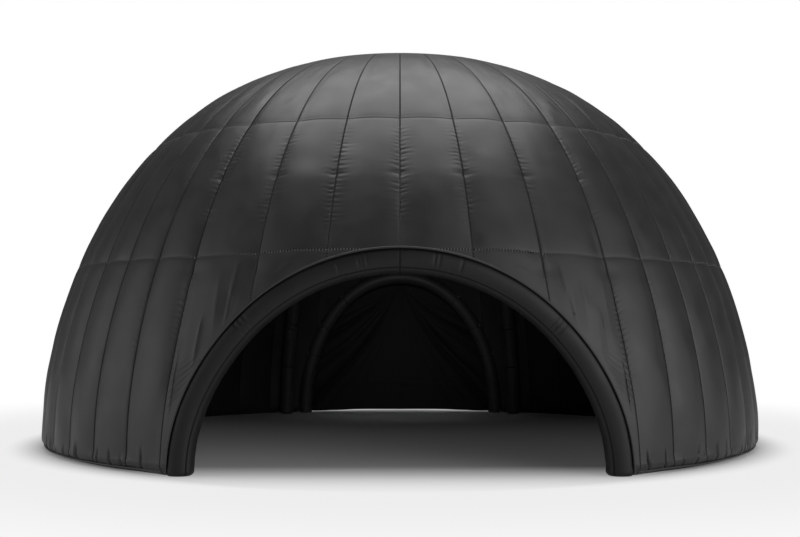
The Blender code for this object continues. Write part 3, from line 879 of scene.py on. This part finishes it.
class TENT_OT_rear_arch(bpy.types.Operator):
    """Builds the padded tube round the rear doorway and its piping"""

    bl_idname = "tent.rear_arch"
    bl_label = "Rear arch"

    def execute(self, context):
        shape, colours = context.scene.tent_shape, context.scene.tent_colours
        x, z = rear_arch_point(np.linspace(0, math.pi, 4001), 0.0)
        path = np.stack([x, skin_depth(shape, x, np.maximum(z, OUTER_FOOT_ROUND), REAR_TUBE_SETBACK), z], axis=1)
        along = run_along(path)
        large, small = (np.interp(up, path[:2000, 2], along[:2000]) for up in (REAR_CREASES, REAR_SMALL_CREASES))
        middle = float(along[-1]) / 2
        places = np.concatenate([large, small, along[-1] - large, along[-1] - small])
        wanted = closer_by(even_rings(along[-1], 300), places)
        path = np.stack([np.interp(wanted, along, path[:, axis]) for axis in range(3)], axis=1)
        out = np.stack([path[:, 0], np.zeros(len(path)), path[:, 2] * 0.6 + 0.001], axis=1)

        def radius_of(along, turn):
            folded = middle - np.abs(along - middle)
            radius = REAR_TUBE * TUBE_GIRTH - dents(folded, large, 0.014, 0.010) * (0.7 + 0.3 * np.sin(turn * 2 + 1))
            radius = radius - dents(folded, small, 0.008, 0.011) * bell(away(turn, math.pi), 1.0)
            return radius + 0.0015 * drift(turn * 1.3, along / 0.2, 11.0)

        seam = (math.pi / 2, REAR_TUBE, middle)
        tube = tube_body("rear_arch_padding", path, out, radius_of, frame_cloth(colours), seam, drawn_in=0.08)
        adopt(tube, "rear_arch_tube")
        x, z = rear_arch_point(np.linspace(0.015, math.pi - 0.015, 260), REAR_TUBE - PIPING)
        doorway_edge(shape, "rear_arch_edge", "rear_arch_piping", x, z, 1, piping_cloth(colours))
        return {"FINISHED"}


class TENT_OT_ribs(bpy.types.Operator):
    """Builds the four inflated ribs that stand inside and the cushion where they meet"""

    bl_idname = "tent.ribs"
    bl_label = "Ribs"

    def execute(self, context):
        shape, finish = context.scene.tent_shape, frame_cloth(context.scene.tent_colours)
        inset = shape.wall + RIB_TUBE + RIB_CLEARANCE
        last = math.acos(((RIB_REACH + 0.05) / (shape.dome_radius - inset)) ** (1 / SIDE_POWER))
        radius, height = dome_point(shape, np.linspace(0, last, 3000), inset)
        along = run_along(np.stack([radius, height], axis=1))
        wanted = closer_by(even_rings(along[-1], 150, False), RIB_CREASES)
        radius, height = np.interp(wanted, along, radius), np.interp(wanted, along, height)
        radius, height = np.append(radius, RIB_REACH), np.append(height, height[-1])
        for number, (name, degrees) in enumerate(RIB_ANGLES.items()):
            turned = math.radians(degrees)
            path = round_place(radius, turned, height)
            out = np.broadcast_to(np.array([math.sin(turned), -math.cos(turned), 0.3]), path.shape)

            def radius_of(along, turn, number=number):
                girth = RIB_TUBE * TUBE_GIRTH - dents(along, RIB_CREASES, 0.014, 0.010)
                return girth + 0.0014 * drift(turn * 1.3, along / 0.2, 17.0 + number)

            seam = (math.pi / 2, RIB_TUBE, None)
            rib = tube_body(name + "_padding", path, out, radius_of, finish, seam, both_feet=False)
            adopt(rib, name)
        adopt(hub_cushion(finish), "crown_hub")
        return {"FINISHED"}


def hub_cushion(finish):
    """The round cushion under the crown, shaped from a cylinder."""
    low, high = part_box("crown_hub")
    bpy.ops.object.select_all(action="DESELECT")
    bpy.ops.mesh.primitive_cylinder_add(
        vertices=64, radius=(high.x - low.x) / 2, depth=high.z - low.z, location=(0, 0, (low.z + high.z) / 2)
    )
    hub = bpy.context.object
    hub.name = hub.data.name = "crown_hub_cushion"
    bpy.ops.object.transform_apply(location=True, rotation=True, scale=True)
    bpy.ops.object.mode_set(mode="EDIT")
    bpy.ops.mesh.select_mode(type="FACE")
    bpy.ops.mesh.select_all(action="DESELECT")
    bpy.ops.object.mode_set(mode="OBJECT")
    for face in hub.data.polygons:
        face.select = abs(face.normal.z) > 0.9
    bpy.ops.object.mode_set(mode="EDIT")
    for thickness in (0.07, 0.12):
        bpy.ops.mesh.inset(thickness=thickness, depth=0.0)
    bpy.ops.object.mode_set(mode="OBJECT")
    rounded = hub.modifiers.new("rounded", "BEVEL")
    rounded.width = 0.065
    rounded.segments = 5
    rounded.angle_limit = math.radians(60)
    bpy.ops.object.modifier_apply(modifier="rounded")
    hub.data.materials.append(finish)
    for name in ("seam_gap", "band_gap", "run", "stitch"):
        mark(hub, name, np.ones(len(hub.data.vertices)))
    round_off(hub)
    return hub


class TENT_OT_base(bpy.types.Operator):
    """Builds the piping along the wall's foot"""

    bl_idname = "tent.base"
    bl_label = "Foot piping"

    def execute(self, context):
        finish = piping_cloth(context.scene.tent_colours)
        slope = math.radians(-45)
        reach = OUTER_FOOT_ROUND + PIPING * 0.6 - FOOT_TUCK * 0.85
        radius = context.scene.tent_shape.dome_radius - OUTER_FOOT_ROUND + reach * math.cos(slope)
        height = OUTER_FOOT_ROUND + reach * math.sin(slope)
        angle = np.radians(np.linspace(DOOR_SEAM, REAR_DOOR_FOOT, 300))
        for side, sign in (("right", 1), ("left", -1)):
            sag = 0.003 * wander(angle * 9, 3.0 + sign)
            path = round_place(radius, sign * angle, height + sag)
            adopt(edge_cord(f"base_edge_{side}", path, finish), f"base_piping_{side}")
        return {"FINISHED"}


# ---------------------------------------------------------------- curtain


class TENT_OT_curtain(bpy.types.Operator):
    """Hangs the rear curtain in folds from the top of its arch"""

    bl_idname = "tent.curtain"
    bl_label = "Rear curtain"

    def execute(self, context):
        shape, colours = context.scene.tent_shape, context.scene.tent_colours
        rows, columns = 125, 181
        top = REAR_ARCH_HEIGHT * 0.985
        share = np.linspace(-1, 1, columns)
        rise = np.sin(np.linspace(0, math.pi / 2, rows))
        hem = CURTAIN_HEM - 0.030 * ease((np.abs(share) - 0.35) / 0.6)
        z = hem[None, :] + (top - hem[None, :]) * rise[:, None]
        half = rear_arch_half_width(z, 0.0)
        x = share[None, :] * half
        seat = skin_depth(shape, half, np.maximum(z, OUTER_FOOT_ROUND), REAR_TUBE_SETBACK) + REAR_TUBE + CURTAIN_SEAT
        drop, reach, side = np.maximum(2.44 - z, 0.03), np.maximum(np.abs(x), 0.01), np.sign(x)
        # Folds run from the apex to the lower corners, and close up towards the apex
        pull = np.log(drop / (reach / 1.6) ** 0.72)
        spacing = 1 / np.hypot(1 / drop, 0.72 / reach)
        swags = np.zeros_like(x)
        for number, (runs_down, depth, half_width) in enumerate(CURTAIN_FOLDS):
            strays = 0.05 * wander(drop / 0.55, 3.0 + side + 2.3 * number) + 0.02 * side * (-1) ** number
            from_fold = np.abs(pull - runs_down - strays) * spacing
            open_up = np.clip(spacing / 0.75, 0.12, 1.0)
            profile = 0.35 - np.exp(-np.sqrt(from_fold**2 + 0.00003) / (half_width * open_up))
            swags += depth * shape.fold * open_up * profile * bell(from_fold, 5 * half_width)
        fine = creases(x / (0.04 + 0.10 * drop), 31.0) * ease((drop - 0.05) / 0.2) * ease((1.3 - drop) / 0.9)
        centre = 0.016 * fine * ease((pull - 0.9) / 0.4)
        sag = z + 0.10 * (1 - (x / 1.6) ** 2)
        lower = 0.018 * creases(sag / 0.13 + 0.6 * wander(x / 0.5, 12.0), 14.0) * ease((0.85 - z) / 0.4)
        relief = swags + centre + lower * ease((pull - 0.1) / 0.4)
        held = ease((half - np.abs(x)) / 0.16) * ease((top - z) / 0.10)
        y = seat + 0.012 - relief * held
        verts = np.stack([x, y, z], axis=2).reshape(-1, 3).tolist()
        curtain = put("rear_curtain_cloth", verts, grid_faces(rows, columns, False).tolist(), curtain_cloth(colours))
        thick = curtain.modifiers.new("cloth", "SOLIDIFY")
        thick.thickness = 0.003
        thick.offset = 0.0
        bpy.context.view_layer.objects.active = curtain
        bpy.ops.object.modifier_apply(modifier="cloth")
        outward(curtain)
        curtain.data.shade_smooth()
        adopt(curtain, "rear_curtain")
        return {"FINISHED"}


# ---------------------------------------------------------------- finishes

# The stitched line is 4 mm wide on the cloth, and is drawn 18 mm wide to show from 16 m away; between its stitches
# it is near-black, painted shade for the groove along the seam
DRAWN_SEAM = 0.018
SEAM_BLUR = 0.0015
# Stitches 5 mm long on the cloth are drawn 12 mm long, 34 mm apart
DRAWN_STITCH = 0.034
# Near-black between the stitches: the needle holes, and painted shade for the groove that each seam draws in the
# cloth
NEEDLE_HOLES_AND_SEAM_SHADE = "#030303"


def add_node(tree, kind, inputs=None, out=0, **settings):
    """Adds a node with its settings, feeds each input a value or a socket, and returns one of its outputs."""
    node = tree.nodes.new(kind)
    for name, value in settings.items():
        setattr(node, name, value)
    for name, value in (inputs or {}).items():
        if isinstance(value, bpy.types.NodeSocket):
            tree.links.new(value, node.inputs[name])
        else:
            node.inputs[name].default_value = value
    return node.outputs[out]


def finish_for(name):
    """A new material by that name, with its node tree and shader, or None with the one that exists."""
    found = bpy.data.materials.get(name)
    if found:
        return found, None, None
    made = bpy.data.materials.new(name)
    made.use_nodes = True
    return made, made.node_tree, made.node_tree.nodes["Principled BSDF"]


def seam_lines(tree):
    """From the marks on a mesh: distance to an upright seam, 1 on a seam, 1 on a stitch, 1 near a level seam."""
    gap, band, stitch = (
        add_node(tree, "ShaderNodeAttribute", out="Fac", attribute_name=name)
        for name in ("seam_gap", "band_gap", "stitch")
    )
    nearest = add_node(tree, "ShaderNodeMath", {0: gap, 1: band}, operation="MINIMUM")
    edges = {"From Min": DRAWN_SEAM / 2 + SEAM_BLUR, "From Max": DRAWN_SEAM / 2 - SEAM_BLUR}
    line = add_node(tree, "ShaderNodeMapRange", {"Value": nearest, **edges})
    wave = add_node(tree, "ShaderNodeMath", {0: stitch, 1: 2 * math.pi / DRAWN_STITCH}, operation="MULTIPLY")
    wave = add_node(tree, "ShaderNodeMath", {0: wave}, operation="SINE")
    thread = add_node(tree, "ShaderNodeMapRange", {"Value": wave, "From Min": 0.2, "From Max": 0.6})
    level = add_node(tree, "ShaderNodeMath", {0: band, 1: gap}, operation="LESS_THAN")
    return gap, line, thread, level


def coated(name, colour, roughness, weave_depth, shine, threads):
    """Woven polyester with a rolled-on coating: a fine even grain under a soft, broad sheen."""
    made, tree, shader = finish_for(name)
    if tree is None:
        return made
    place = add_node(tree, "ShaderNodeTexCoord", out="Object")
    gap, line, thread, level = seam_lines(tree)
    run = add_node(tree, "ShaderNodeAttribute", out="Fac", attribute_name="run")
    # Uneven coating, in patches about 0.3 m across
    patches = add_node(tree, "ShaderNodeTexNoise", {"Vector": place, "Scale": 3.2, "Detail": 3.0})
    uneven = {"Value": patches, "From Min": 0.3, "From Max": 0.7}
    shade = add_node(tree, "ShaderNodeMapRange", {**uneven, "To Min": 0.86, "To Max": 1.12})
    rough = add_node(
        tree, "ShaderNodeMapRange", {**uneven, "To Min": roughness - 0.04, "To Max": roughness + 0.05}
    )
    cloth = add_node(
        tree, "ShaderNodeMix", {0: 1.0, 6: (*colour, 1.0), 7: shade}, 2, data_type="RGBA", blend_type="MULTIPLY"
    )
    upright_thread, level_thread, holes_and_seam_shade = [(*linear(code), 1.0) for code in (*threads, NEEDLE_HOLES_AND_SEAM_SHADE)]
    either = add_node(tree, "ShaderNodeMix", {0: level, 6: upright_thread, 7: level_thread}, 2, data_type="RGBA")
    # Thread stitches with near-black between them, painted shade in the seam's groove
    sewn = add_node(tree, "ShaderNodeMix", {0: thread, 6: holes_and_seam_shade, 7: either}, 2, data_type="RGBA")
    stitched = add_node(tree, "ShaderNodeMix", {0: line, 6: cloth, 7: sewn}, 2, data_type="RGBA")
    dull = add_node(tree, "ShaderNodeMix", {0: line, 2: rough, 3: 0.95}, data_type="FLOAT")
    # Threads are 0.4 mm apart on the real cloth, and their grain is drawn 8 mm wide to show at this distance
    grain = add_node(tree, "ShaderNodeTexNoise", {"Vector": place, "Scale": 120.0, "Detail": 4.0})
    weave = add_node(tree, "ShaderNodeBump", {"Strength": 1.0, "Distance": weave_depth, "Height": grain})
    # Small gathers, 35 mm apart along a seam, that die away within 90 mm of it
    along = add_node(tree, "ShaderNodeCombineXYZ", {"X": gap, "Y": run})
    stretched = add_node(tree, "ShaderNodeMapping", {"Vector": along, "Scale": (6.0, 28.0, 1.0)})
    ruffles = add_node(tree, "ShaderNodeTexNoise", {"Vector": stretched, "Scale": 1.0, "Detail": 2.0})
    reach = {"Value": gap, "From Min": 0.09, "From Max": 0.0}
    near = add_node(tree, "ShaderNodeMapRange", reach, interpolation_type="SMOOTHSTEP")
    ruffles = add_node(tree, "ShaderNodeMath", {0: ruffles, 1: near}, operation="MULTIPLY")
    puckered = add_node(
        tree, "ShaderNodeBump", {"Strength": 1.0, "Distance": 0.004, "Height": ruffles, "Normal": weave}
    )
    tree.links.new(stitched, shader.inputs["Base Color"])
    tree.links.new(dull, shader.inputs["Roughness"])
    tree.links.new(puckered, shader.inputs["Normal"])
    shader.inputs["Specular IOR Level"].default_value = shine
    return made


def wall_cloth(colours):
    """Coated polyester of the wall, semi-matte, with a paler thread in its level seams than in the upright ones."""
    return coated("coated_polyester_wall", colours.wall, 0.42, 0.0012, 0.5, ("#303030", "#606060"))


def tube_cloth(colours):
    """The same cloth pulled tight over the front arch, a little smoother, sewn with black thread."""
    return coated("coated_polyester_tube", colours.tube, 0.50, 0.0008, 0.42, ("#0d0d0d", "#0d0d0d"))


def frame_cloth(colours):
    """The cloth of the ribs and the rear arch, which has the same coating on a smoother weave, its colour painted
    lighter than the wall's as painted light on the ribs inside the dim tent.
    """
    return coated("coated_polyester_frame", colours.frame, 0.50, 0.0006, 0.4, ("#1a1a1a", "#1a1a1a"))


def curtain_cloth(colours):
    """Plain woven polyester, uncoated and limp: matte, with a fine thread pattern."""
    made, tree, shader = finish_for("woven_polyester_curtain")
    if tree is None:
        return made
    place = add_node(tree, "ShaderNodeTexCoord", out="Object")
    # Threads are 0.5 mm apart on the real cloth, and the slubs drawn here are about 12 mm long to show
    turned = add_node(tree, "ShaderNodeMapping", {"Vector": place, "Scale": (1.0, 1.0, 0.25)})
    slubs = add_node(tree, "ShaderNodeTexNoise", {"Vector": turned, "Scale": 220.0, "Detail": 3.0})
    shade = add_node(tree, "ShaderNodeMapRange", {"Value": slubs, "To Min": 0.8, "To Max": 1.2})
    plain = (*colours.curtain, 1.0)
    cloth = add_node(
        tree, "ShaderNodeMix", {0: 1.0, 6: plain, 7: shade}, 2, data_type="RGBA", blend_type="MULTIPLY"
    )
    bump = add_node(tree, "ShaderNodeBump", {"Strength": 0.5, "Distance": 0.001, "Height": slubs})
    tree.links.new(cloth, shader.inputs["Base Color"])
    tree.links.new(bump, shader.inputs["Normal"])
    shader.inputs["Roughness"].default_value = 0.8
    shader.inputs["Specular IOR Level"].default_value = 0.3
    return made


def piping_cloth(colours):
    """Coated tape sewn round a cord: smoother and glossier than the wall, with a stitch mark every 12 mm."""
    made, tree, shader = finish_for("coated_piping_tape")
    if tree is None:
        return made
    run = add_node(tree, "ShaderNodeAttribute", out="Fac", attribute_name="run")
    wave = add_node(tree, "ShaderNodeMath", {0: run, 1: 2 * math.pi / 0.012}, operation="MULTIPLY")
    wave = add_node(tree, "ShaderNodeMath", {0: wave}, operation="SINE")
    bump = add_node(tree, "ShaderNodeBump", {"Strength": 0.3, "Distance": 0.001, "Height": wave})
    tree.links.new(bump, shader.inputs["Normal"])
    shader.inputs["Base Color"].default_value = (*colours.piping, 1.0)
    shader.inputs["Roughness"].default_value = 0.38
    return made


# ---------------------------------------------------------------- stage

STUDIO_WHITE = (1, 1, 1, 1)
CAMERA_PLACE = (0, -16.382, 1.6535)
CAMERA_TILT = 92.803
# Each wide light of the studio: where it stands, and the cosine at which it starts to show
LEFT_LIGHT = ((-0.98, -0.20, 0.0), 0.70)
RIGHT_LIGHT = ((0.80, -0.60, 0.0), 0.60)


def floor_finish(stage):
    """Matte studio floor that glows as painted light round the tent, and brightens into the white background away
    from the tent.
    """
    made, tree, shader = finish_for("matte_studio_floor")
    if tree is None:
        return made
    place = add_node(tree, "ShaderNodeTexCoord", out="Object")
    length = add_node(tree, "ShaderNodeVectorMath", {0: place}, "Value", operation="LENGTH")
    ahead = add_node(tree, "ShaderNodeSeparateXYZ", {0: place}, "Y")
    # Painted light, as a glow: white round the tent and before the doorway, a little painted daylight on the floor
    # inside, and white further off
    ramps = [
        add_node(
            tree, "ShaderNodeMapRange",
            {"Value": value, "From Min": start, "From Max": end, "To Min": low, "To Max": high},
            interpolation_type="SMOOTHSTEP",
        )
        for value, start, end, low, high in (
            (length, 4.7, 5.5, 0.0, 1.0),
            (ahead, -3.1, -5.8, 0.0, 1.0),
            (ahead, 5.0, -3.3, 0.0, 0.04),
            (length, 5.6, 11.0, 0.85, 1.0),
        )
    ]
    round_tent, before_door, painted_light_inside, strength = ramps
    far = add_node(tree, "ShaderNodeMath", {0: round_tent, 1: before_door}, operation="MAXIMUM")
    far = add_node(tree, "ShaderNodeMath", {0: far, 1: painted_light_inside}, operation="MAXIMUM")
    seen = add_node(tree, "ShaderNodeLightPath", out="Is Camera Ray")
    strength = add_node(tree, "ShaderNodeMix", {0: seen, 2: 0.5, 3: strength}, data_type="FLOAT")
    # The glow is painted light, brighter to the camera than to the tent it lights
    painted_light_glow = add_node(tree, "ShaderNodeEmission", {"Color": STUDIO_WHITE, "Strength": strength})
    shader.inputs["Base Color"].default_value = (*stage.floor, 1.0)
    shader.inputs["Roughness"].default_value = 0.9
    shader.inputs["Specular IOR Level"].default_value = 0.1
    both = add_node(tree, "ShaderNodeMixShader", {0: far, 1: shader.outputs[0], 2: painted_light_glow})
    tree.links.new(both, tree.nodes["Material Output"].inputs["Surface"])
    return made


def studio_world(stage):
    """A white studio, lit from both sides and a little from behind, and dim on the camera's side."""
    world = bpy.data.worlds.new("white_studio")
    world.use_nodes = True
    tree = world.node_tree
    direction = add_node(tree, "ShaderNodeTexCoord", out="Generated")
    behind = add_node(tree, "ShaderNodeSeparateXYZ", {0: direction}, "Y")
    lobes = []
    for (aim, start), power in ((LEFT_LIGHT, stage.left_light), (RIGHT_LIGHT, stage.right_light)):
        facing = add_node(tree, "ShaderNodeVectorMath", {0: direction, 1: aim}, "Value", operation="DOT_PRODUCT")
        lobes.append((facing, start, 0.98, power))
    lobes.append((behind, 0.2, 0.9, stage.back_light))
    light = stage.even_light
    for value, start, end, power in lobes:
        lobe = add_node(
            tree, "ShaderNodeMapRange", {"Value": value, "From Min": start, "From Max": end, "To Max": power},
            interpolation_type="SMOOTHSTEP",
        )
        light = add_node(tree, "ShaderNodeMath", {0: light, 1: lobe}, operation="ADD")
    seen = add_node(tree, "ShaderNodeLightPath", out="Is Camera Ray")
    strength = add_node(tree, "ShaderNodeMix", {0: seen, 2: light, 3: 1.0}, data_type="FLOAT")
    shade = tree.nodes["Background"]
    shade.inputs["Color"].default_value = STUDIO_WHITE
    tree.links.new(strength, shade.inputs["Strength"])
    return world


def soft_box(name, place, turn, size, power):
    """A rectangular soft light that the camera doesn't see."""
    bpy.ops.object.light_add(type="AREA", location=place, rotation=turn)
    box = bpy.context.object
    box.name = name
    box.data.shape = "RECTANGLE"
    box.data.size, box.data.size_y = size
    box.data.energy = power
    box.visible_camera = False
    return box


class TENT_OT_stage(bpy.types.Operator):
    """Lays the studio floor and sets the light and the camera"""

    bl_idname = "tent.stage"
    bl_label = "Stage"

    def execute(self, context):
        stage = context.scene.tent_stage
        bpy.ops.object.select_all(action="DESELECT")
        bpy.ops.mesh.primitive_plane_add(size=240, location=(0, 0, 0))
        floor = context.object
        floor.name = floor.data.name = "studio_floor"
        floor.data.materials.append(floor_finish(stage))
        context.scene.world = studio_world(stage)
        soft_box("top_soft_box", (0, -0.3, 15), (0, 0, 0), (15.0, 12.0), stage.top_light)
        fill = soft_box("inside_fill", (0, -2.0, 3.5), (math.radians(70), 0, 0), (2.0, 0.4), stage.door_light)
        fill.data.spread = math.radians(44)
        bpy.ops.object.camera_add(location=CAMERA_PLACE, rotation=(math.radians(CAMERA_TILT), 0, 0))
        camera = context.object
        camera.name = "camera"
        camera.data.lens = stage.lens
        camera.data.sensor_width = 36.0
        camera.data.clip_end = 600
        context.scene.camera = camera
        context.scene.view_settings.view_transform = "Standard"
        return {"FINISHED"}


# ---------------------------------------------------------------- panel

STEPS = ("wall", "crown", "front_arch", "rear_arch", "ribs", "base", "curtain", "stage")


class TENT_PT_panel(bpy.types.Panel):
    """Lists the tent's sizes, colours and building steps"""

    bl_idname = "TENT_PT_panel"
    bl_label = "Inflatable tent"
    bl_space_type = "VIEW_3D"
    bl_region_type = "UI"
    bl_category = "Tent"

    def draw(self, context):
        scene = context.scene
        for group in (scene.tent_shape, scene.tent_colours, scene.tent_stage):
            column = self.layout.column()
            for name in group.__annotations__:
                column.prop(group, name)
        for step in STEPS:
            self.layout.operator(f"tent.{step}")


CLASSES = (
    TentShape,
    TentColours,
    TentStage,
    TENT_OT_wall,
    TENT_OT_crown,
    TENT_OT_front_arch,
    TENT_OT_rear_arch,
    TENT_OT_ribs,
    TENT_OT_base,
    TENT_OT_curtain,
    TENT_OT_stage,
    TENT_PT_panel,
)


def register():
    """Adds the add-on's classes and settings."""
    for kind in CLASSES:
        bpy.utils.register_class(kind)
    bpy.types.Scene.tent_shape = bpy.props.PointerProperty(type=TentShape)
    bpy.types.Scene.tent_colours = bpy.props.PointerProperty(type=TentColours)
    bpy.types.Scene.tent_stage = bpy.props.PointerProperty(type=TentStage)


def unregister():
    """Takes the add-on's classes and settings out again."""
    del bpy.types.Scene.tent_stage
    del bpy.types.Scene.tent_colours
    del bpy.types.Scene.tent_shape
    for kind in reversed(CLASSES):
        bpy.utils.unregister_class(kind)


def main():
    """Builds the whole scene."""
    register()
    for step in STEPS:
        getattr(bpy.ops.tent, step)()


if __name__ == "__main__":
    main()
